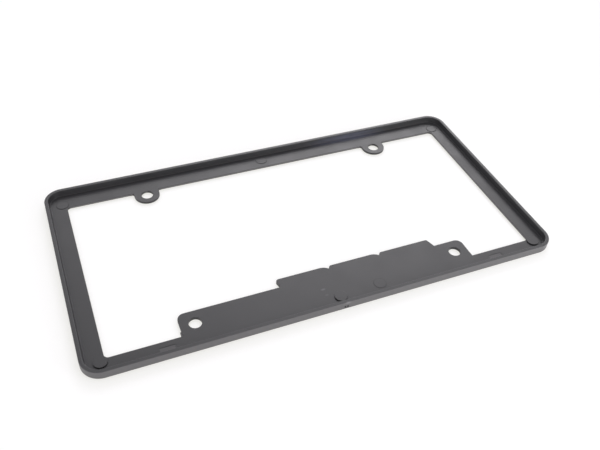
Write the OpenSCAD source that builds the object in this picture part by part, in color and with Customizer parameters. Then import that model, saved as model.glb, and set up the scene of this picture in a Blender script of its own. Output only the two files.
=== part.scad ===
// Number plate holder: one moulding that lies on its front face, with the plate's side up.
// X runs along the plate, Y towards its top edge and Z up from the front face to the rim.

/* [Frame] */
// Overall length of the frame
frame_l = 313; // [306:0.5:340]
// Overall height of the frame, across the plate
frame_h = 160; // [156:0.5:180]
// Depth from the front face to the top of the rim
frame_depth = 6.2; // [5:0.1:10]
// Radius of the outer corners
corner_r = 12; // [8:0.5:20]
// Radius of the outer edge at the front face
front_r = 1.2; // [0.5:0.1:2.2]

/* [Rim] */
// Width of the rim that stands round the plate
rim_w = 2.4; // [2:0.1:4]
// Radius of the two edges on top of the rim
rim_edge_r = 0.4; // [0.2:0.05:0.8]
// Radius of the fillet where the rim meets the ledge
foot_r = 0.3; // [0.2:0.1:2]

/* [Ledge] */
// Thickness of the ledge that the plate lies on
ledge_t = 2.1; // [1.6:0.1:3.5]
// Width of each side rail, from the outer face to the window
side_rail_w = 13.7; // [11:0.1:20]
// Width of the top rail, from the outer face to the window
top_rail_w = 16.2; // [13:0.1:19]
// Width of the bottom rail, from the outer face to the window
bottom_rail_w = 12; // [10:0.1:15]
// Radius of the window's corners
window_r = 2.5; // [1:0.1:6]
// Radius of the window's edge at the front face
window_edge_r = 0.8; // [0.3:0.1:1.2]

/* [Screw holes] */
// Distance between the holes along the plate
hole_pitch_x = 177.8; // [170:0.1:190]
// Distance between the holes across the plate
hole_pitch_y = 120.65; // [119:0.05:122]
// How far the middle of the hole pattern lies below the frame's middle
hole_drop = 0.5; // [0:0.1:1]
// Diameter of the holes
hole_d = 8; // [5:0.1:9]

/* [Ears] */
// Radius of each ear's round end
ear_r = 8.7; // [7:0.1:11]
// How far the middle of that round lies above the ear's hole
ear_lift = 0.9; // [0:0.1:2]
// Thickness of the ears
ear_t = 1.6; // [1:0.1:2]
// Radius of the fillets where an ear meets the top rail
ear_root_r = 1.2; // [0.5:0.1:2]

/* [Panel] */
// Distance from a lower hole to the panel's side edge
panel_side = 9.3; // [7:0.1:14]
// Distance from the lower holes up to the panel's shoulders
panel_rise = 9.2; // [7:0.1:12]
// Radius of the panel's two upper corners
panel_r = 4.5; // [1:0.1:6]
// How far the panel's root stands out at each side
root_out = 0.8; // [0.3:0.1:2]
// Height of that root above the bottom rail
root_h = 4; // [2:0.5:6]
// Thickness of that root, from the front face
root_t = 1.2; // [0.6:0.1:1.5]

/* [Crest] */
// Number of blocks in the crest on the panel's top edge
block_count = 3; // [1:1:4]
// Length of one block
block_l = 36.3; // [20:0.1:38]
// Height of the crest above the shoulders
crest_rise = 6.7; // [4:0.1:9]
// Distance from the right lower hole to the foot of the crest's ramp
ramp_gap = 10.4; // [9:0.1:20]
// Length of the ramp at the crest's right end
ramp_l = 2.3; // [1:0.1:6]
// Radius at the top of that ramp
ramp_r = 1.5; // [0.5:0.1:3]
// How far the crest's left end leans out over the shoulder
crest_lean = 1.1; // [0:0.1:2]
// Radius of each block's left corner
block_r = 1.9; // [0.5:0.1:2]
// Radius of the round that brings a block down to the next one
fall_r = 8.7; // [6:0.1:12]
// Depth of the notch between two blocks
notch_depth = 2.7; // [2.1:0.1:3.5]

/* [Moulding marks] */
// Diameter of the ejector discs
pin_d = 8.1; // [6:0.1:9]
// Height of the ejector discs on the bottom rail
pin_h = 0.8; // [0.1:0.05:1]
// Height of the ejector discs on the top rail
pin_top_h = 0.25; // [0.1:0.05:1]
// Height of the panel's own disc
pin_panel_h = 0.1; // [0.05:0.05:0.4]
// Distance of the corner discs from the ends of the frame
pin_end = 11.1; // [9:0.1:14]
// Distance of the two lower corner discs from the bottom edge
pin_bottom = 9.9; // [8:0.1:10.5]
// Distance of the lower middle disc from the bottom edge
pin_bottom_mid = 8.7; // [8:0.1:12]
// Distance of the two upper corner discs from the top edge
pin_top = 12.9; // [9:0.1:14]
// Distance of the upper middle disc from the top edge
pin_top_mid = 8.7; // [8:0.1:12]
// How far the lower middle disc lies right of the frame's middle
pin_mid_x = 0.6; // [-5:0.1:5]
// Distance of the panel's own disc from the frame's middle
pin_panel_x = 28.5; // [14:0.5:60]
// Distance of the panel's own disc from the bottom edge
pin_panel_y = 10.5; // [9:0.1:20]
// Length of each bare marking pad
pad_l = 9.6; // [5:0.1:12]
// Height of each bare marking pad
pad_h = 3.2; // [2:0.1:4]
// Depth of each bare marking pad
pad_depth = 0.15; // [0.1:0.05:0.3]
// Distance from the middle of the pads to the bottom edge
pad_bottom = 6.6; // [5:0.1:8]
// Distance from the left lower hole out to the middle of its marking pad
pad_left_gap = 19.6; // [17:0.1:30]
// Distance from the right lower hole out to the middle of its marking pad
pad_right_gap = 24.1; // [17:0.1:30]
// How far the gate's stub lies right of the frame's middle
gate_x = 0.3; // [-5:0.1:5]
// Width of the stub left by the gate
gate_w = 0.8; // [0.6:0.1:3]
// Height of the pockets at both sides of the stub
gate_h = 1.8; // [0.8:0.1:2]
// Height of the middle of those pockets above the front face
gate_rise = 2.4; // [2:0.1:4]
// Width of each of those pockets
gate_side = 0.9; // [0.5:0.1:2]
// Depth of those pockets
gate_depth = 1.2; // [0.2:0.1:1.5]

/* [Hidden] */
$fn = 96;

// Length by which cutters run past the faces they cut
past = 1;
// Overlap between the swept border and the flat sheet inside it
lap = 0.5;
// Width of the swept border, from the outer face
border_w = rim_w + foot_r + 2 * lap;

// Window edges
window_x = frame_l / 2 - side_rail_w;
window_top = frame_h / 2 - top_rail_w;
window_bottom = bottom_rail_w - frame_h / 2;

// Hole centres
hole_x = hole_pitch_x / 2;
hole_top = hole_pitch_y / 2 - hole_drop;
hole_bottom = -hole_pitch_y / 2 - hole_drop;

// Panel edges
panel_x = hole_x + panel_side;
panel_top = hole_bottom + panel_rise;
crest_end = hole_x - ramp_gap - ramp_l;
crest_start = crest_end - block_count * block_l;

// The ramp's slope, and how far its top round reaches back along the top. That is a little
// short of a tangent, so that the round crosses the slope cleanly.
ramp_angle = atan2(crest_rise, ramp_l);
ramp_reach = 0.95 * ramp_r * tan(ramp_angle / 2);

// Width over which a block's round comes down to the notch
fall_l = sqrt(2 * fall_r * notch_depth - notch_depth * notch_depth);

// Rectangle with round corners between two corner points
module round_rect(low, high, r) {
    union() {
        translate([low[0] + r, low[1]]) square([high[0] - low[0] - 2 * r, high[1] - low[1]]);
        translate([low[0], low[1] + r]) square([high[0] - low[0], high[1] - low[1] - 2 * r]);
        for (x = [low[0] + r, high[0] - r], y = [low[1] + r, high[1] - r])
            translate([x, y]) circle(r = r);
    }
}

// What a round of radius r leaves over in a square corner at the origin
module corner_waste(r) {
    difference() {
        translate([-past, -past]) square(r + past);
        translate([r, r]) circle(r = r);
    }
}

// Fillet of radius r in the corner between the positive axes
module corner_fill(r) {
    difference() {
        square(r);
        translate([r, r]) circle(r = r);
    }
}

// Carries a section round a rectangle with round corners. In the section x runs
// inwards from the edge and y is height.
module around(length, height, r) {
    for (i = [0:3]) {
        run = (i % 2 == 0 ? length : height) - 2 * r;
        reach = (i % 2 == 0 ? height : length) / 2;
        rotate(90 * i) translate([-run / 2, -reach, 0]) rotate([90, 0, 90])
            linear_extrude(run) children();
    }
    for (i = [0:3]) {
        sx = i == 0 || i == 3 ? 1 : -1;
        sy = i < 2 ? 1 : -1;
        translate([sx * (length / 2 - r), sy * (height / 2 - r), 0]) rotate(90 * i)
            rotate_extrude(angle = 90) translate([r, 0]) mirror([1, 0]) children();
    }
}

// True section of the border: rounded front edge, rim, foot fillet and the ledge's root
module border_section() {
    difference() {
        union() {
            square([border_w, ledge_t]);
            square([rim_w, frame_depth]);
            translate([rim_w, ledge_t]) corner_fill(foot_r);
        }
        corner_waste(front_r);
        translate([0, frame_depth]) mirror([0, 1]) corner_waste(rim_edge_r);
        translate([rim_w, frame_depth]) rotate(180) corner_waste(rim_edge_r);
    }
}

// Flat sheet inside the border, open at the window
module ledge() {
    inset = border_w - lap;
    linear_extrude(ledge_t) difference() {
        round_rect([inset - frame_l / 2, inset - frame_h / 2],
                   [frame_l / 2 - inset, frame_h / 2 - inset], corner_r - inset);
        round_rect([-window_x, window_bottom], [window_x, window_top], window_r);
    }
}

// What the round on the window's front edge takes away
module window_edge_waste() {
    length = 2 * (window_x + window_edge_r);
    height = window_top - window_bottom + 2 * window_edge_r;
    translate([0, (window_top + window_bottom) / 2, 0])
        around(length, height, window_r + window_edge_r) mirror([1, 0])
            translate([-window_edge_r, 0]) corner_waste(window_edge_r);
}

// Two ears that hang from the top rail, each round one hole
module ears() {
    middle = hole_top + ear_lift;
    for (side = [-1, 1]) translate([side * hole_x, 0, ledge_t - ear_t]) linear_extrude(ear_t) {
        translate([0, middle]) circle(r = ear_r);
        translate([-ear_r, middle]) square([2 * ear_r, window_top + window_r - middle]);
        for (flip = [0, 1]) mirror([flip, 0]) translate([ear_r, window_top]) mirror([0, 1])
            corner_fill(ear_root_r);
    }
}

// One block of the crest, from its left end. One that meets another falls to a notch, and
// the last one ends where the ramp's round begins.
module crest_block(falls) {
    difference() {
        square([falls ? block_l : block_l - ramp_reach, crest_rise]);
        translate([0, crest_rise]) mirror([0, 1]) corner_waste(block_r);
        if (falls) translate([block_l - fall_l, crest_rise - fall_r]) difference() {
            square(fall_r + past);
            circle(r = fall_r);
        }
    }
}

// Ramp from the crest's top down to the right shoulder, with its top corner at x = 0
module ramp() {
    polygon([[-ramp_reach, 0], [ramp_l, 0],
             [ramp_reach * cos(ramp_angle), crest_rise - ramp_reach * sin(ramp_angle)],
             [-ramp_reach, crest_rise]]);
    translate([-ramp_reach, crest_rise - ramp_r]) circle(r = ramp_r);
}

// Outline of the panel: shoulders, round corners and the crest
module panel_outline() {
    floor_y = window_bottom - (bottom_rail_w - border_w);
    difference() {
        union() {
            round_rect([-panel_x, floor_y - panel_r], [panel_x, panel_top], panel_r);
            for (i = [0:block_count - 1]) translate([crest_start + i * block_l, panel_top])
                crest_block(i < block_count - 1);
            translate([crest_end, panel_top]) ramp();
            translate([crest_start, panel_top - panel_r]) square([crest_end - crest_start, 2 * panel_r]);
        }
        translate([crest_start, panel_top])
            polygon([[-past, 0], [crest_lean, 0], [0, crest_rise - block_r], [-past, crest_rise - block_r]]);
        translate([-panel_x - past, floor_y - 2 * panel_r]) square([2 * (panel_x + past), 2 * panel_r]);
    }
}

// Panel on the bottom rail, with its wider root at the front
module panel() {
    linear_extrude(ledge_t) panel_outline();
    translate([-panel_x - root_out, window_bottom - window_edge_r, 0])
        cube([2 * (panel_x + root_out), window_edge_r + root_h, root_t]);
}

// One ejector disc, sunk into the ledge by as much as it stands up
module disc(place, rise) {
    translate([place[0], place[1], ledge_t - rise]) cylinder(h = 2 * rise, d = pin_d);
}

// Ejector discs on the side that the plate lies on
module ejector_discs() {
    corner_x = frame_l / 2 - pin_end;
    for (x = [-corner_x, corner_x]) {
        disc([x, pin_bottom - frame_h / 2], pin_h);
        disc([x, frame_h / 2 - pin_top], pin_top_h);
    }
    disc([pin_mid_x, pin_bottom_mid - frame_h / 2], pin_h);
    disc([0, frame_h / 2 - pin_top_mid], pin_top_h);
    disc([pin_panel_x, pin_panel_y - frame_h / 2], pin_panel_h);
}

// Shallow bare pads beside the panel
module pad_waste() {
    pad_y = pad_bottom - frame_h / 2;
    for (x = [-hole_x - pad_left_gap, hole_x + pad_right_gap])
        translate([x - pad_l / 2, pad_y - pad_h / 2, ledge_t - pad_depth])
            cube([pad_l, pad_h, pad_depth + past]);
}

// Pockets that leave the gate's stub standing in the bottom edge
module gate_waste() {
    for (side = [-1, 1])
        translate([gate_x + side * (gate_w + gate_side) / 2, -frame_h / 2, gate_rise])
            cube([gate_side, 2 * gate_depth, gate_h], center = true);
}

module hole_waste() {
    for (x = [-hole_x, hole_x], y = [hole_top, hole_bottom])
        translate([x, y, -past]) cylinder(h = ledge_t + 2 * past, d = hole_d);
}

module plate_frame() {
    color("#2b2c2e") difference() {
        union() {
            around(frame_l, frame_h, corner_r) border_section();
            difference() {
                ledge();
                window_edge_waste();
            }
            ears();
            panel();
            ejector_discs();
        }
        hole_waste();
        pad_waste();
        gate_waste();
    }
}

plate_frame();
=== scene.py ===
import math

import bpy
import mathutils
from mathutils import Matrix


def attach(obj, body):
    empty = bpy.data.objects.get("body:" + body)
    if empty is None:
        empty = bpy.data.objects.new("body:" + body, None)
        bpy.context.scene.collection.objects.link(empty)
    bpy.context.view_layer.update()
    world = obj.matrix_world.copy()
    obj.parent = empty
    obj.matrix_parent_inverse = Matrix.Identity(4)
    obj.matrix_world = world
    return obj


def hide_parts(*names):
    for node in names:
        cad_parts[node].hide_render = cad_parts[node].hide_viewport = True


mm = 0.001


def srgb(code):
    # "#rrggbb" as it looks on screen, turned to the linear values that shaders use
    parts = [int(code[i:i + 2], 16) / 255 for i in (1, 3, 5)]
    return tuple(c / 12.92 if c <= 0.04045 else ((c + 0.055) / 1.055) ** 2.4 for c in parts) + (1.0,)


def addNode(tree, kind, inputs=None, **settings):
    # one node with its settings; an input takes a value, another node's output or a list of them
    node = tree.nodes.new(kind)
    for name, value in settings.items():
        setattr(node, name, value)
    for name, value in (inputs or {}).items():
        for item in value if isinstance(value, list) else [value]:
            if isinstance(item, bpy.types.NodeSocket):
                tree.links.new(item, node.inputs[name])
            else:
                node.inputs[name].default_value = item
    return node


def startMaterial(name):
    material = bpy.data.materials.new(name)
    material.use_nodes = True
    material.node_tree.nodes.clear()
    return material, material.node_tree


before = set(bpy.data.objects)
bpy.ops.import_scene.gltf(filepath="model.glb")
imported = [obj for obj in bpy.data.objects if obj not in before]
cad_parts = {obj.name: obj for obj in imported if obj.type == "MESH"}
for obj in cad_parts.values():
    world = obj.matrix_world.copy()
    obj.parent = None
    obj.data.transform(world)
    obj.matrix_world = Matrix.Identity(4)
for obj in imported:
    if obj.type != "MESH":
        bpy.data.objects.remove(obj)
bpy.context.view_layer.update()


# Ejector discs of the mould: their width, and their places in mm from the middle of the frame
discs = {
    "width": 8.1 * mm,
    "low": [(-145.4, -70.1), (145.4, -70.1), (0.6, -71.3)],
    "top": [(-145.4, 67.1), (145.4, 67.1), (0, 71.3)],
    "panel": [(28.5, -69.5)],
}

# Satin black ABS, injection moulded: soft broad reflections, hardly any colour of its own, and an
# even grain from the mould, drawn coarser than it is so that it still shows. Cooling leaves faint
# cloudy patches that shine a little more or less. The outer faces and the window's visible walls
# are duller, and get a paler colour that is painted light, standing in for the bright table that they
# reflect; the two marking pads have some of the paler, duller finish as their own. A thin bluish
# painted reflection, streaked along the rail, lies at the foot of the top rim. The gate left a pale
# blush, the panel has two pale scuffs, and the flatter discs have a fine dull line round them,
# which is drawn wider than it is.
plastic = {
    "colour": "#2a2a2c",
    "paleColour": "#2e2e30",
    "roughness": 0.37,
    "patchRoughness": 0.42,
    "ior": 1.53,
    "grainSize": 0.35 * mm,
    "grainHeight": 0.012 * mm,
    "flowSize": 45 * mm,
    "patchSize": 14 * mm,
    "patchRange": (0.35, 0.65),
    # painted light: a paler colour on the outer faces and the window's walls stands in for the bright table that they
    # reflect; on the marking pads it is their own paler finish
    "paintedLightAndPadColour": "#605f60",
    "dullFaceRoughness": 0.45,
    "cornerMiddle": (144.5 * mm, 68 * mm, 1.0),  # its height is out of reach, so that only x and y count
    "outerFaceRadius": (11.6 * mm, 12 * mm),  # the painted light starts and is full this far from the corner's middle
    "windowEdge": (142.6 * mm, 63.6 * mm, 1.0),
    "windowFade": 0.1 * mm,
    "wallMiddle": 1.0 * mm,
    "wallReach": (0.95 * mm, 0.85 * mm),  # up or down from the middle, where the painted light on the walls ends and is full
    "padAt": ((-108.5 * mm, -73.4 * mm, 2.0 * mm), (113.0 * mm, -73.4 * mm, 2.0 * mm)),
    "padReach": (4.6 * mm, 1.4 * mm, 0.5 * mm),
    "padFade": 0.3 * mm,
    "padStrength": 0.4,
    # painted reflection: a bluish light reflected at the foot of the top rim, painted into the colour
    "paintedReflectionColour": "#676b80",
    "paintedReflectionAt": (74 * mm, 75.6 * mm, 3.8 * mm),
    "paintedReflectionReach": (46 * mm, 4.3 * mm, 3.7 * mm),
    "streakSize": (30 * mm, 1.5 * mm, 1.5 * mm),
    "streakRange": (0.3, 0.7),
    "streakLeast": 0.35,
    "spotColour": "#8a898b",
    "spotCore": 0.4,  # share of a spot that is even
    "paleSpots": {  # middle and half size in mm, and strength
        "gate blush": ((1.2, -80.0, 5.5), (2.4, 1.2, 1.1), 0.45),
        "scuff": ((-7.6, -62.4, 2.1), (1.9, 1.0, 0.5), 0.2),
        "small scuff": ((-7.2, -67.3, 2.1), (1.4, 0.8, 0.5), 0.1),
    },
    "lineColour": "#151516",
    "lineRoughness": 0.85,
    "lineReach": (0.4 * mm, 0.1 * mm),  # distance from its middle where it ends and where it is full
    "lineStrength": {"top": 0.4, "panel": 0.35},
}


def distanceFrom(tree, place, middle, reach):
    # 0 in the middle of an ellipsoid, 1 on its surface
    away = addNode(tree, "ShaderNodeVectorMath", {0: place, 1: middle}, operation="SUBTRACT")
    scaled = addNode(tree, "ShaderNodeVectorMath", {0: away.outputs[0], 1: reach}, operation="DIVIDE")
    return addNode(tree, "ShaderNodeVectorMath", {0: scaled.outputs[0]}, operation="LENGTH").outputs["Value"]


# painted light on the outer faces and the window's walls, and the marking pads' own paler finish
def paintedLightAndPadMask(tree, place, spec):
    # the outer faces: further out than a radius round the corners' middles
    quarter = addNode(tree, "ShaderNodeVectorMath", {0: place}, operation="ABSOLUTE").outputs[0]
    beyond = addNode(tree, "ShaderNodeVectorMath", {0: quarter, 1: spec["cornerMiddle"]}, operation="SUBTRACT")
    outwards = addNode(tree, "ShaderNodeVectorMath", {0: beyond.outputs[0], 1: (0, 0, 0)}, operation="MAXIMUM")
    radius = addNode(tree, "ShaderNodeVectorMath", {0: outwards.outputs[0]}, operation="LENGTH")
    outside = addNode(tree, "ShaderNodeMapRange", {
        "Value": radius.outputs["Value"], "From Min": spec["outerFaceRadius"][0], "From Max": spec["outerFaceRadius"][1]})

    # the window's walls: outside the window's line, and between the edges of the ledge
    past = addNode(tree, "ShaderNodeVectorMath", {0: quarter, 1: spec["windowEdge"]}, operation="SUBTRACT")
    sides = addNode(tree, "ShaderNodeSeparateXYZ", {0: past.outputs[0]})
    border = addNode(tree, "ShaderNodeMath", {0: sides.outputs["X"], 1: sides.outputs["Y"]}, operation="MAXIMUM")
    onBorder = addNode(tree, "ShaderNodeMapRange", {"Value": border.outputs[0], "From Max": spec["windowFade"]})
    height = addNode(tree, "ShaderNodeSeparateXYZ", {0: place})
    up = addNode(tree, "ShaderNodeMath", {0: height.outputs["Z"], 1: spec["wallMiddle"]}, operation="SUBTRACT")
    upOrDown = addNode(tree, "ShaderNodeMath", {0: up.outputs[0]}, operation="ABSOLUTE")
    between = addNode(tree, "ShaderNodeMapRange", {
        "Value": upOrDown.outputs[0], "From Min": spec["wallReach"][0], "From Max": spec["wallReach"][1]})
    wall = addNode(tree, "ShaderNodeMath", {
        0: onBorder.outputs["Result"], 1: between.outputs["Result"]}, operation="MULTIPLY")
    mask = addNode(tree, "ShaderNodeMath", {
        0: outside.outputs["Result"], 1: wall.outputs[0]}, operation="MAXIMUM").outputs[0]

    for middle in spec["padAt"]:
        offset = addNode(tree, "ShaderNodeVectorMath", {0: place, 1: middle}, operation="SUBTRACT")
        away = addNode(tree, "ShaderNodeVectorMath", {0: offset.outputs[0]}, operation="ABSOLUTE")
        inside = addNode(tree, "ShaderNodeVectorMath", {
            0: spec["padReach"], 1: away.outputs[0]}, operation="SUBTRACT")
        parts = addNode(tree, "ShaderNodeSeparateXYZ", {0: inside.outputs[0]})
        least = addNode(tree, "ShaderNodeMath", {0: parts.outputs["X"], 1: parts.outputs["Y"]}, operation="MINIMUM")
        depth = addNode(tree, "ShaderNodeMath", {0: least.outputs[0], 1: parts.outputs["Z"]}, operation="MINIMUM")
        pad = addNode(tree, "ShaderNodeMapRange", {
            "Value": depth.outputs[0], "From Max": spec["padFade"], "To Max": spec["padStrength"]})
        mask = addNode(tree, "ShaderNodeMath", {0: mask, 1: pad.outputs["Result"]}, operation="MAXIMUM").outputs[0]
    return mask


# painted reflection: a bluish patch of reflected light at the foot of the top rim, streaked along the rail
def paintedReflectionMask(tree, place, spec):
    fade = addNode(tree, "ShaderNodeMapRange", {
        "Value": distanceFrom(tree, place, spec["paintedReflectionAt"], spec["paintedReflectionReach"]),
        "From Min": 1.0, "From Max": 0.0}, interpolation_type="SMOOTHSTEP")
    stretched = addNode(tree, "ShaderNodeVectorMath", {0: place, 1: spec["streakSize"]}, operation="DIVIDE")
    streaks = addNode(tree, "ShaderNodeTexNoise", {"Vector": stretched.outputs[0], "Scale": 1.0, "Detail": 3.0})
    streak = addNode(tree, "ShaderNodeMapRange", {
        "Value": streaks.outputs["Fac"], "From Min": spec["streakRange"][0], "From Max": spec["streakRange"][1],
        "To Min": spec["streakLeast"]})
    return addNode(tree, "ShaderNodeMath", {
        0: fade.outputs["Result"], 1: streak.outputs["Result"]}, operation="MULTIPLY").outputs[0]


def spotMask(tree, place, spec):
    mask = 0.0
    for name, (middle, reach, strength) in spec["paleSpots"].items():
        distance = distanceFrom(tree, place, tuple(v * mm for v in middle), tuple(v * mm for v in reach))
        spot = addNode(tree, "ShaderNodeMapRange", {
            "Value": distance, "From Min": 1.0, "From Max": spec["spotCore"], "To Max": strength}, label=name)
        mask = addNode(tree, "ShaderNodeMath", {0: spot.outputs["Result"], 1: mask}, operation="MAXIMUM").outputs[0]
    return mask


def lineMask(tree, place, spec, discs):
    flat = addNode(tree, "ShaderNodeVectorMath", {0: place, 1: (1, 1, 0)}, operation="MULTIPLY").outputs[0]
    mask = 0.0
    for name, strength in spec["lineStrength"].items():
        for x, y in discs[name]:
            distance = addNode(tree, "ShaderNodeVectorMath", {0: flat, 1: (x * mm, y * mm, 0)}, operation="DISTANCE")
            fromEdge = addNode(tree, "ShaderNodeMath", {
                0: distance.outputs["Value"], 1: discs["width"] / 2}, operation="SUBTRACT")
            off = addNode(tree, "ShaderNodeMath", {0: fromEdge.outputs[0]}, operation="ABSOLUTE")
            line = addNode(tree, "ShaderNodeMapRange", {
                "Value": off.outputs[0], "From Min": spec["lineReach"][0], "From Max": spec["lineReach"][1],
                "To Max": strength})
            mask = addNode(tree, "ShaderNodeMath", {
                0: line.outputs["Result"], 1: mask}, operation="MAXIMUM").outputs[0]
    return mask


def makePlastic(spec, discs):
    material, tree = startMaterial("satin moulded black ABS")
    place = addNode(tree, "ShaderNodeTexCoord").outputs["Object"]
    flow = addNode(tree, "ShaderNodeTexNoise", {
        "Vector": place, "Scale": 1 / spec["flowSize"], "Detail": 3.0, "Roughness": 0.5})
    patches = addNode(tree, "ShaderNodeTexNoise", {
        "Vector": place, "Scale": 1 / spec["patchSize"], "Detail": 2.0, "Roughness": 0.5})
    cloud = addNode(tree, "ShaderNodeMapRange", {
        "Value": patches.outputs["Fac"], "From Min": spec["patchRange"][0], "From Max": spec["patchRange"][1]})
    colour = addNode(tree, "ShaderNodeMix", {
        "Factor": flow.outputs["Fac"], 6: srgb(spec["colour"]), 7: srgb(spec["paleColour"])},
        data_type="RGBA").outputs[2]
    roughness = addNode(tree, "ShaderNodeMix", {
        "Factor": cloud.outputs["Result"], 2: spec["roughness"], 3: spec["patchRoughness"]}).outputs[0]

    # the outer faces' painted light and the top rim's painted reflection are mixed into the colour here, with the
    # pads, spots and disc lines
    litFacesAndPads, line = paintedLightAndPadMask(tree, place, spec), lineMask(tree, place, spec, discs)
    layers = ((litFacesAndPads, "paintedLightAndPadColour"), (paintedReflectionMask(tree, place, spec), "paintedReflectionColour"),
              (spotMask(tree, place, spec), "spotColour"), (line, "lineColour"))
    for mask, name in layers:
        colour = addNode(tree, "ShaderNodeMix", {
            "Factor": mask, 6: colour, 7: srgb(spec[name])}, data_type="RGBA").outputs[2]
    for mask, name in ((litFacesAndPads, "dullFaceRoughness"), (line, "lineRoughness")):
        roughness = addNode(tree, "ShaderNodeMix", {"Factor": mask, 2: roughness, 3: spec[name]}).outputs[0]

    grain = addNode(tree, "ShaderNodeTexNoise", {
        "Vector": place, "Scale": 1 / spec["grainSize"], "Detail": 2.0, "Roughness": 0.6})
    bump = addNode(tree, "ShaderNodeBump", {
        "Height": grain.outputs["Fac"], "Strength": 1.0, "Distance": spec["grainHeight"]})
    shader = addNode(tree, "ShaderNodeBsdfPrincipled", {
        "Base Color": colour, "Roughness": roughness, "IOR": spec["ior"],
        "Metallic": 0.0, "Normal": bump.outputs["Normal"]})
    addNode(tree, "ShaderNodeOutputMaterial", {"Surface": shader.outputs["BSDF"]})
    return material


plasticMaterial = makePlastic(plastic, discs)
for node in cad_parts.values():
    node.data.materials.clear()
    node.data.materials.append(plasticMaterial)
print("plastic ready")


# The frame is one moulding. These sizes draw its lines, and the trees below turn the lines
# into the solid: the border's section goes round the outline, and every flat part is a slab
# with rounded edges.
moulding = {
    "length": 313 * mm, "height": 160 * mm, "depth": 6.2 * mm,
    "cornerRound": 12 * mm, "frontRound": 1.2 * mm,
    "rimWidth": 2.4 * mm, "rimRound": 0.4 * mm, "footRound": 0.3 * mm, "wallLean": 0.72 * mm,
    "ledge": 2.1 * mm, "sideRail": 13.7 * mm, "topRail": 16.2 * mm, "bottomRail": 12 * mm,
    "windowRound": 2.5 * mm, "windowFrontRound": 1.3 * mm, "edgeRound": 0.15 * mm,
    "overlap": 4 * mm,
    "holePitchX": 177.8 * mm, "holePitchY": 120.65 * mm, "holeDrop": 0.5 * mm, "holeWidth": 8 * mm,
    "earRound": 8.7 * mm, "earLift": 0.9 * mm, "earThickness": 1.6 * mm, "earRoot": 1.2 * mm,
    "panelSide": 9.3 * mm, "panelRise": 9.2 * mm, "panelRound": 4.5 * mm,
    "rootOut": 0.8 * mm, "rootHeight": 4 * mm, "rootThickness": 1.2 * mm, "rootRound": 0.6 * mm,
    "blocks": 3, "blockLength": 36.3 * mm, "crestRise": 6.7 * mm, "rampGap": 10.4 * mm,
    "rampLength": 2.3 * mm, "rampRound": 1.5 * mm, "crestLean": 1.1 * mm,
    "blockRound": 1.9 * mm, "fallRound": 8.7 * mm, "notchDepth": 2.7 * mm,
    "discRound": 0.12 * mm, "discHeight": 0.8 * mm, "topDiscHeight": 0.25 * mm,
    "panelDiscRound": 0.05 * mm, "panelDiscHeight": 0.1 * mm,
    "padLength": 9.6 * mm, "padHeight": 3.2 * mm, "padDepth": 0.15 * mm, "padRound": 0.4 * mm,
    "pads": [(-108.5, -73.4), (113.0, -73.4)],
    "gateX": 0.3 * mm, "gateStub": 0.8 * mm, "gatePocket": 0.9 * mm, "gateRise": 2.4 * mm,
    "gateHeight": 1.8 * mm, "gateDepth": 1.2 * mm,
    "arcSteps": 10, "borderSteps": 24, "ringSteps": 72, "sharpAngle": 30,
}
nearly = 0.99  # rounds that meet stop just short of each other, so that no two points coincide
margin = 1 * mm  # how far cutters reach past the faces that they cut, and slabs into each other
weld = 0.002 * mm  # points closer than this are one


def box(x0, x1, y0, y1, round=0.0):
    return [(x0, y0, round), (x1, y0, round), (x1, y1, round), (x0, y1, round)]


def slabProfile(low, high, roundLow, roundHigh):
    # side of a slab, from its top down to its underside: x goes into the slab, y up
    spare = 0.05 * mm
    return [(roundHigh + spare, high, 0), (0, high, roundHigh), (0, low, roundLow), (roundLow + spare, low, 0)]


def panelLine(m):
    holeX, holeY = m["holePitchX"] / 2, -m["holePitchY"] / 2 - m["holeDrop"]
    sideX, top = holeX + m["panelSide"], holeY + m["panelRise"]
    floor = m["bottomRail"] - m["height"] / 2 - m["overlap"]
    crest, notch = top + m["crestRise"], top + m["crestRise"] - m["notchDepth"]
    end = holeX - m["rampGap"] - m["rampLength"]
    start = end - m["blocks"] * m["blockLength"]
    turn = math.acos(1 - m["notchDepth"] / m["fallRound"])
    back = m["fallRound"] * (math.sin(turn) - math.tan(turn / 2))
    line = [(-sideX, floor, 0), (sideX, floor, 0), (sideX, top, m["panelRound"]),
            (end + m["rampLength"], top, 0), (end, crest, m["rampRound"])]
    for i in reversed(range(m["blocks"])):
        x = start + i * m["blockLength"]
        line.append((x, crest, m["blockRound"]))
        if i > 0:
            line += [(x, notch, 0), (x - back, crest, nearly * m["fallRound"])]
    straight = 0.1 * mm  # upright part of the crest's left end, above its lean
    return line + [(start, crest - m["blockRound"] - straight, 0), (start + m["crestLean"], top, 0),
                   (-sideX, top, m["panelRound"])]


def earLine(m, side):
    x, r, root = side * m["holePitchX"] / 2, m["earRound"], m["earRoot"]
    bend, rootBend, far = nearly * r, nearly * root, r + root + margin
    middle = m["holePitchY"] / 2 - m["holeDrop"] + m["earLift"]
    edge = m["height"] / 2 - m["topRail"]
    roof = edge + m["overlap"]
    return [(x - r, middle - r, bend), (x + r, middle - r, bend), (x + r, edge, rootBend), (x + far, edge, 0),
            (x + far, roof, 0), (x - far, roof, 0), (x - far, edge, 0), (x - r, edge, rootBend)]


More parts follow.
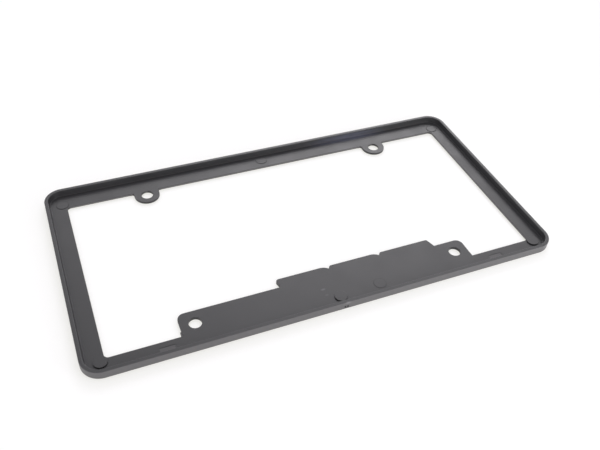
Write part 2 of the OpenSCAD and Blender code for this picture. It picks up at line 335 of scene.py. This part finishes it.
def frameLines(m):
    # every line of the moulding by name: whether it is closed, and its corners with their rounds
    e, t = m["edgeRound"], m["ledge"]
    past = 0.003 * mm  # the holes' edge rounds start just past the faces, so that they cross them cleanly
    halfLength, halfHeight = m["length"] / 2, m["height"] / 2
    windowX, windowTop = halfLength - m["sideRail"], halfHeight - m["topRail"]
    windowLow = m["bottomRail"] - halfHeight
    inset = m["overlap"] - margin
    ledgeX, ledgeY = halfLength - inset, halfHeight - inset
    section = [(0, 0, m["frontRound"]), (m["overlap"], 0, 0), (m["overlap"], t, 0),
               (m["rimWidth"] + m["wallLean"], t, m["footRound"]),
               (m["rimWidth"], m["depth"], m["rimRound"]), (0, m["depth"], m["rimRound"])]
    holeX, holeY = m["holePitchX"] / 2, m["holePitchY"] / 2
    rootX = holeX + m["panelSide"] + m["rootOut"]
    padX, padY, pocketX = m["padLength"] / 2, m["padHeight"] / 2, m["gatePocket"] / 2
    pads = [(x * mm, y * mm) for x, y in m["pads"]]
    pockets = [m["gateX"] + side * (m["gateStub"] + m["gatePocket"]) / 2 for side in (-1, 1)]
    lines = {
        "border section": [(True, section)],
        "ledge outline": [
            (True, box(-ledgeX, ledgeX, -ledgeY, ledgeY, m["cornerRound"] - inset)),
            (True, box(-windowX, windowX, windowLow, windowTop, m["windowRound"])[::-1])],
        "ledge side": [(False, slabProfile(0, t, m["windowFrontRound"], e))],
        "ear outline": [(True, earLine(m, side)) for side in (-1, 1)],
        "ear side": [(False, slabProfile(t - m["earThickness"], t, e, e))],
        "panel outline": [(True, panelLine(m))],
        "panel side": [(False, slabProfile(0, t, e, e))],
        "root outline": [(True, box(
            -rootX, rootX, windowLow - m["overlap"] / 2, windowLow + m["rootHeight"], m["rootRound"]))],
        "root side": [(False, slabProfile(0, m["rootThickness"], e, e))],
        "disc side": [(False, slabProfile(t / 2, t + m["discHeight"], e, m["discRound"]))],
        "top disc side": [(False, slabProfile(t / 2, t + m["topDiscHeight"], e, m["discRound"]))],
        "panel disc side": [(False, slabProfile(t / 2, t + m["panelDiscHeight"], e, m["panelDiscRound"]))],
        "hole side": [(False, [(0, t + margin, 0), (0, t + past, 0), (e, t + past, nearly * e),
                               (e, -past, nearly * e), (0, -past, 0), (0, -margin, 0)])],
        "pad outline": [(True, box(x - padX, x + padX, y - padY, y + padY, m["padRound"])) for x, y in pads],
        "pad side": [(False, [(0, t + margin, 0), (0, t - m["padDepth"], 0)])],
        "gate outline": [(True, box(x - pocketX, x + pocketX, -halfHeight - margin, m["gateDepth"] - halfHeight))
                         for x in pockets],
        "gate side": [(False, [(0, m["gateRise"] + m["gateHeight"] / 2, 0),
                               (0, m["gateRise"] - m["gateHeight"] / 2, 0)])],
    }
    points = {
        "disc places": [(x * mm, y * mm) for x, y in discs["low"]],
        "top disc places": [(x * mm, y * mm) for x, y in discs["top"]],
        "panel disc place": [(x * mm, y * mm) for x, y in discs["panel"]],
        "hole places": [(x, y - m["holeDrop"]) for x in (-holeX, holeX) for y in (-holeY, holeY)],
    }
    return lines, points


def linesMesh(lines, points):
    # all lines in one mesh, each marked with its number
    spots, edges, kinds, rounds = [], [], [], []
    names = list(lines) + list(points)
    for name, group in lines.items():
        for closed, corners in group:
            first = len(spots)
            spots += [(x, y, 0) for x, y, _ in corners]
            rounds += [r for _, _, r in corners]
            kinds += [names.index(name)] * len(corners)
            edges += [(i, i + 1) for i in range(first, len(spots) - 1)]
            if closed:
                edges.append((len(spots) - 1, first))
    for name, places in points.items():
        spots += [(x, y, 0) for x, y in places]
        rounds += [0] * len(places)
        kinds += [names.index(name)] * len(places)
    mesh = bpy.data.meshes.new("frame lines")
    mesh.from_pydata(spots, edges, [])
    mesh.attributes.new("kind", "INT", "POINT").data.foreach_set("value", kinds)
    mesh.attributes.new("round", "FLOAT", "POINT").data.foreach_set("value", rounds)
    return mesh, names


def startTree(name, inputs):
    # a geometry tree with named inputs, and the sockets that its nodes read them from
    tree = bpy.data.node_groups.new(name, "GeometryNodeTree")
    for label, kind in inputs.items():
        tree.interface.new_socket(label, in_out="INPUT", socket_type=kind)
    tree.interface.new_socket("Geometry", in_out="OUTPUT", socket_type="NodeSocketGeometry")
    return tree, tree.nodes.new("NodeGroupInput").outputs


def makeSlabTree():
    # a closed slab: the profile goes round the outline as its side, and both ends are filled
    tree, given = startTree("slab", {"Outline": "NodeSocketGeometry", "Profile": "NodeSocketGeometry"})
    turned = addNode(tree, "GeometryNodeTransform", {"Geometry": given["Profile"], "Rotation": (0, 0, math.pi)})
    side = addNode(tree, "GeometryNodeCurveToMesh", {"Curve": given["Outline"], "Profile Curve": turned.outputs[0]})
    limits = addNode(tree, "GeometryNodeBoundBox", {"Geometry": side.outputs["Mesh"]})
    faces = addNode(tree, "GeometryNodeInputMeshEdgeNeighbors").outputs["Face Count"]
    openEdge = addNode(tree, "FunctionNodeCompare", {2: faces, 3: 1}, data_type="INT", operation="EQUAL")
    both = addNode(tree, "ShaderNodeVectorMath", {
        0: limits.outputs["Min"], 1: limits.outputs["Max"]}, operation="ADD")
    middle = addNode(tree, "ShaderNodeVectorMath", {0: both.outputs[0], "Scale": 0.5}, operation="SCALE")
    place = addNode(tree, "GeometryNodeInputPosition").outputs[0]
    fromMiddle = addNode(tree, "ShaderNodeVectorMath", {0: place, 1: middle.outputs[0]}, operation="SUBTRACT")
    height = addNode(tree, "ShaderNodeSeparateXYZ", {0: fromMiddle.outputs[0]})
    parts = [side.outputs["Mesh"]]
    for limit, compare in (("Max", "GREATER_THAN"), ("Min", "LESS_THAN")):
        above = addNode(tree, "FunctionNodeCompare", {0: height.outputs["Z"], 1: 0.0}, operation=compare)
        rim = addNode(tree, "FunctionNodeBooleanMath", {0: openEdge.outputs[0], 1: above.outputs[0]}, operation="AND")
        loop = addNode(tree, "GeometryNodeMeshToCurve", {"Mesh": side.outputs["Mesh"], "Selection": rim.outputs[0]})
        fill = addNode(tree, "GeometryNodeFillCurve", {"Curve": loop.outputs[0]}, mode="TRIANGLES")
        level = addNode(tree, "ShaderNodeSeparateXYZ", {0: limits.outputs[limit]})
        lift = addNode(tree, "ShaderNodeCombineXYZ", {"Z": level.outputs["Z"]})
        end = addNode(tree, "GeometryNodeSetPosition", {"Geometry": fill.outputs[0], "Offset": lift.outputs[0]})
        if limit == "Min":
            end = addNode(tree, "GeometryNodeFlipFaces", {"Mesh": end.outputs[0]})
        parts.append(end.outputs[0])
    joined = addNode(tree, "GeometryNodeJoinGeometry", {0: parts})
    whole = addNode(tree, "GeometryNodeMergeByDistance", {"Geometry": joined.outputs[0], "Distance": weld})
    addNode(tree, "NodeGroupOutput", {0: whole.outputs[0]})
    return tree


def makeFrameTree(names, slabTree):
    tree, given = startTree("moulded frame", {
        "Lines": "NodeSocketGeometry", "Length": "NodeSocketFloat", "Height": "NodeSocketFloat",
        "Corner Round": "NodeSocketFloat", "Disc Width": "NodeSocketFloat", "Hole Width": "NodeSocketFloat",
        "Hole Flare": "NodeSocketFloat", "Arc Steps": "NodeSocketInt", "Border Steps": "NodeSocketInt",
        "Ring Steps": "NodeSocketInt", "Material": "NodeSocketMaterial"})
    kind = addNode(tree, "GeometryNodeInputNamedAttribute", {"Name": "kind"}, data_type="INT").outputs["Attribute"]
    bend = addNode(tree, "GeometryNodeInputNamedAttribute", {"Name": "round"}, data_type="FLOAT").outputs["Attribute"]

    def pick(name):
        same = addNode(tree, "FunctionNodeCompare", {
            2: kind, 3: names.index(name)}, data_type="INT", operation="EQUAL")
        return addNode(tree, "GeometryNodeSeparateGeometry", {
            "Geometry": given["Lines"], "Selection": same.outputs[0]}, domain="POINT").outputs[0]

    def line(name):
        curve = addNode(tree, "GeometryNodeMeshToCurve", {"Mesh": pick(name)})
        return addNode(tree, "GeometryNodeFilletCurve", {
            "Curve": curve.outputs[0], "Count": given["Arc Steps"], "Radius": bend, "Limit Radius": True},
            mode="POLY").outputs[0]

    def circles(name, width):
        radius = addNode(tree, "ShaderNodeMath", {0: width, 1: 0.5}, operation="MULTIPLY")
        ring = addNode(tree, "GeometryNodeCurvePrimitiveCircle", {
            "Resolution": given["Ring Steps"], "Radius": radius.outputs[0]})
        points = addNode(tree, "GeometryNodeMeshToPoints", {"Mesh": pick(name)})
        rings = addNode(tree, "GeometryNodeInstanceOnPoints", {
            "Points": points.outputs[0], "Instance": ring.outputs[0]})
        return addNode(tree, "GeometryNodeRealizeInstances", {0: rings.outputs[0]}).outputs[0]

    def slab(outline, profile):
        return addNode(tree, "GeometryNodeGroup", {
            "Outline": outline, "Profile": line(profile)}, node_tree=slabTree).outputs[0]

    outline = addNode(tree, "GeometryNodeCurvePrimitiveQuadrilateral", {
        "Width": given["Length"], "Height": given["Height"]})
    path = addNode(tree, "GeometryNodeFilletCurve", {
        "Curve": outline.outputs[0], "Count": given["Border Steps"], "Radius": given["Corner Round"]}, mode="POLY")
    turned = addNode(tree, "GeometryNodeTransform", {"Geometry": line("border section"), "Rotation": (0, 0, math.pi)})
    border = addNode(tree, "GeometryNodeCurveToMesh", {"Curve": path.outputs[0], "Profile Curve": turned.outputs[0]})
    solids = [border.outputs[0], slab(line("ledge outline"), "ledge side"), slab(line("ear outline"), "ear side"),
              slab(line("panel outline"), "panel side"), slab(line("root outline"), "root side"),
              slab(circles("disc places", given["Disc Width"]), "disc side"),
              slab(circles("top disc places", given["Disc Width"]), "top disc side"),
              slab(circles("panel disc place", given["Disc Width"]), "panel disc side")]
    flare = addNode(tree, "ShaderNodeMath", {
        0: given["Hole Flare"], 1: 2.0, 2: given["Hole Width"]}, operation="MULTIPLY_ADD")
    cutters = [slab(circles("hole places", flare.outputs[0]), "hole side"),
               slab(line("pad outline"), "pad side"), slab(line("gate outline"), "gate side")]
    union = addNode(tree, "GeometryNodeMeshBoolean", {"Mesh 2": solids}, operation="UNION", solver="MANIFOLD")
    cut = addNode(tree, "GeometryNodeMeshBoolean", {"Mesh 1": union.outputs[0], "Mesh 2": cutters},
                  operation="DIFFERENCE", solver="MANIFOLD")
    smooth = addNode(tree, "GeometryNodeSetShadeSmooth", {"Geometry": cut.outputs[0], "Shade Smooth": True})
    real = addNode(tree, "GeometryNodeRealizeInstances", {0: smooth.outputs[0]})
    done = addNode(tree, "GeometryNodeSetMaterial", {"Geometry": real.outputs[0], "Material": given["Material"]})
    addNode(tree, "NodeGroupOutput", {0: done.outputs[0]})
    return tree


def plainMesh(item):
    # the object's evaluated mesh, as it is after its modifiers
    return bpy.data.meshes.new_from_object(item.evaluated_get(bpy.context.evaluated_depsgraph_get()))


def makeFrame(m, material):
    lines, names = linesMesh(*frameLines(m))
    tree = makeFrameTree(names, makeSlabTree())
    piece = bpy.data.objects.new("frame_moulding", lines)
    bpy.context.scene.collection.objects.link(piece)
    modifier = piece.modifiers.new("moulding", "NODES")
    modifier.node_group = tree
    sizes = {"Length": m["length"], "Height": m["height"], "Corner Round": m["cornerRound"],
             "Disc Width": discs["width"], "Hole Width": m["holeWidth"], "Hole Flare": m["edgeRound"],
             "Arc Steps": m["arcSteps"], "Border Steps": m["borderSteps"], "Ring Steps": m["ringSteps"],
             "Material": material}
    for item in tree.interface.items_tree:
        if item.in_out == "INPUT" and item.name in sizes:
            modifier[item.identifier] = sizes[item.name]
    solid = plainMesh(piece)
    piece.modifiers.clear()
    piece.data = solid
    solid.set_sharp_from_angle(angle=math.radians(m["sharpAngle"]))
    piece.modifiers.new("flat faces stay flat", "WEIGHTED_NORMAL").keep_sharp = True
    shaded = plainMesh(piece)
    piece.modifiers.clear()
    piece.data = shaded
    shaded.name = "frame moulding"
    bpy.data.meshes.remove(solid)
    bpy.data.meshes.remove(lines)
    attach(piece, "root")
    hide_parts("plate_frame")
    return piece


moulded = makeFrame(moulding, plasticMaterial)
print("frame moulded:", len(moulded.data.polygons), "faces")


# White matt table. The camera and reflections see a plain warm part and a shaded cool part,
# which are white together in full light and leave the object's soft shadow slightly warm.
# Light that bounces off it is that of a plain white table.
table = {
    "colour": "#f4f4f4",
    "size": 8000 * mm,
    "gap": 0.01 * mm,  # keeps it clear of the face that lies on it
    "shadedPart": "#a6a7b1",
    "plainPart": "#cecdc4",
}


def makeTable(spec):
    material, tree = startMaterial("white matt table")
    ray = addNode(tree, "ShaderNodeLightPath")
    seenRay = addNode(tree, "ShaderNodeMath", {
        0: ray.outputs["Is Camera Ray"], 1: ray.outputs["Is Glossy Ray"]}, operation="MAXIMUM")
    matt = addNode(tree, "ShaderNodeBsdfDiffuse", {"Color": srgb(spec["colour"])})
    shade = addNode(tree, "ShaderNodeBsdfDiffuse", {"Color": srgb(spec["shadedPart"])})
    plain = addNode(tree, "ShaderNodeEmission", {"Color": srgb(spec["plainPart"]), "Strength": 1.0})
    seen = addNode(tree, "ShaderNodeAddShader", {0: shade.outputs[0], 1: plain.outputs[0]})
    both = addNode(tree, "ShaderNodeMixShader", {0: seenRay.outputs[0], 1: matt.outputs[0], 2: seen.outputs[0]})
    addNode(tree, "ShaderNodeOutputMaterial", {"Surface": both.outputs[0]})
    mesh = bpy.data.meshes.new("table")
    half = spec["size"] / 2
    corners = [(-half, -half), (half, -half), (half, half), (-half, half)]
    mesh.from_pydata([(x, y, -spec["gap"]) for x, y in corners], [], [(0, 1, 2, 3)])
    mesh.materials.append(material)
    top = bpy.data.objects.new("table", mesh)
    bpy.context.scene.collection.objects.link(top)


makeTable(table)


# Soft studio light: an even white room with a few mild softboxes. Each has its heading from +X
# and its height in degrees, the half width of its even middle and of its soft edge, and its strength.
studio = {
    "room": "#fefcff",
    "roomStrength": 0.87,
    "softboxes": {
        "backdrop, right": (55, 32.5, 2, 18, 3.4),
        "backdrop, left": (75, 34, 2, 18, 2.4),
        "front": (290, 5, 15, 40, 0.3),
    },
}


def makeRoom(spec):
    world = bpy.data.worlds.new("studio")
    bpy.context.scene.world = world
    world.use_nodes = True
    tree = world.node_tree
    tree.nodes.clear()
    direction = addNode(tree, "ShaderNodeTexCoord").outputs["Generated"]
    light = spec["roomStrength"]
    for name, (heading, height, inner, outer, strength) in spec["softboxes"].items():
        turn, lift = math.radians(heading), math.radians(height)
        towards = (math.cos(turn) * math.cos(lift), math.sin(turn) * math.cos(lift), math.sin(lift))
        near = addNode(tree, "ShaderNodeVectorMath", {0: direction, 1: towards}, operation="DOT_PRODUCT", label=name)
        box = addNode(tree, "ShaderNodeMapRange", {
            "Value": near.outputs["Value"], "From Min": math.cos(math.radians(outer)),
            "From Max": math.cos(math.radians(inner))}, interpolation_type="SMOOTHSTEP")
        light = addNode(tree, "ShaderNodeMath", {
            0: box.outputs["Result"], 1: strength, 2: light}, operation="MULTIPLY_ADD").outputs[0]
    ray = addNode(tree, "ShaderNodeLightPath")
    shown = addNode(tree, "ShaderNodeMix", {0: ray.outputs["Is Camera Ray"], 2: light, 3: 1.0})
    glow = addNode(tree, "ShaderNodeBackground", {
        "Color": srgb(spec["room"]), "Strength": shown.outputs[0]})
    addNode(tree, "ShaderNodeOutputWorld", {"Surface": glow.outputs["Background"]})


makeRoom(studio)


# A small soft lamp, low in front and towards the right end
lamp = {
    "place": (300 * mm, -400 * mm, 150 * mm),
    "size": 200 * mm,
    "power": 0.7,
}


def makeLamp(spec):
    data = bpy.data.lights.new("near lamp", "AREA")
    data.size = spec["size"]
    data.energy = spec["power"]
    item = bpy.data.objects.new("near lamp", data)
    item.location = spec["place"]
    item.rotation_euler = mathutils.Vector(spec["place"]).to_track_quat("Z", "Y").to_euler()
    bpy.context.scene.collection.objects.link(item)


makeLamp(lamp)
print("table and light ready")


# The photograph's view, from a camera fitted to the holes and the straight edges
view = {
    "place": (-144.983 * mm, -312.404 * mm, 323.159 * mm),
    "turn": (46.6783, -3.1779, -22.3057),  # in degrees
    "lens": 41.311,
    "sensor": 36.0,
    "clipStart": 10 * mm,
}


def makeCamera(spec):
    data = bpy.data.cameras.new("camera")
    data.sensor_width = spec["sensor"]
    data.lens = spec["lens"]
    data.clip_start = spec["clipStart"]
    camera = bpy.data.objects.new("camera", data)
    camera.location = spec["place"]
    camera.rotation_euler = [math.radians(a) for a in spec["turn"]]
    bpy.context.scene.collection.objects.link(camera)
    bpy.context.scene.camera = camera


makeCamera(view)
bpy.context.scene.view_settings.view_transform = "Standard"
print("camera ready")
